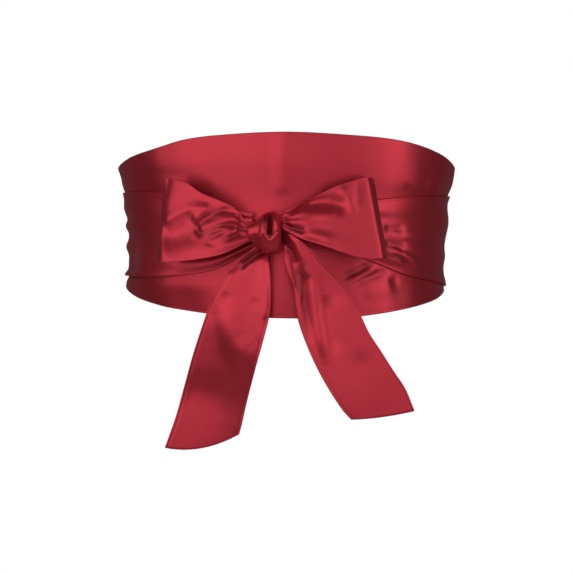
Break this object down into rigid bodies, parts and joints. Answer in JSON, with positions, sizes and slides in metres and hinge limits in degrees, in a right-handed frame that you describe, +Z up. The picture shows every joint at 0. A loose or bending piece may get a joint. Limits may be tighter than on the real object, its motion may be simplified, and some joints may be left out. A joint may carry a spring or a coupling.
{
  "type": "satin waist sash",
  "caption": "Satin waist sash as worn: a wide shaped front panel whose ties cross behind, come forward over it and meet in a bow with long slanted ends.",
  "frame": {"origin": "middle of the wearer's waist, level with the middle of the panel's front height", "axes": "+Z up the wearer, -Y to the front where the bow is, +X to the right as seen from the front"},
  "size_m": [0.2628, 0.2288, 0.2315],
  "materials": {
    "satin": "deep red satin with a soft sheen"
  },
  "bodies": {
    "root": {"front_panel": "satin", "tie_wrap_left": "satin", "tie_wrap_right": "satin", "bow_loop_left": "satin", "bow_loop_right": "satin", "bow_knot": "satin", "tail_left": "satin", "tail_right": "satin"}
  },
  "joints": []
}
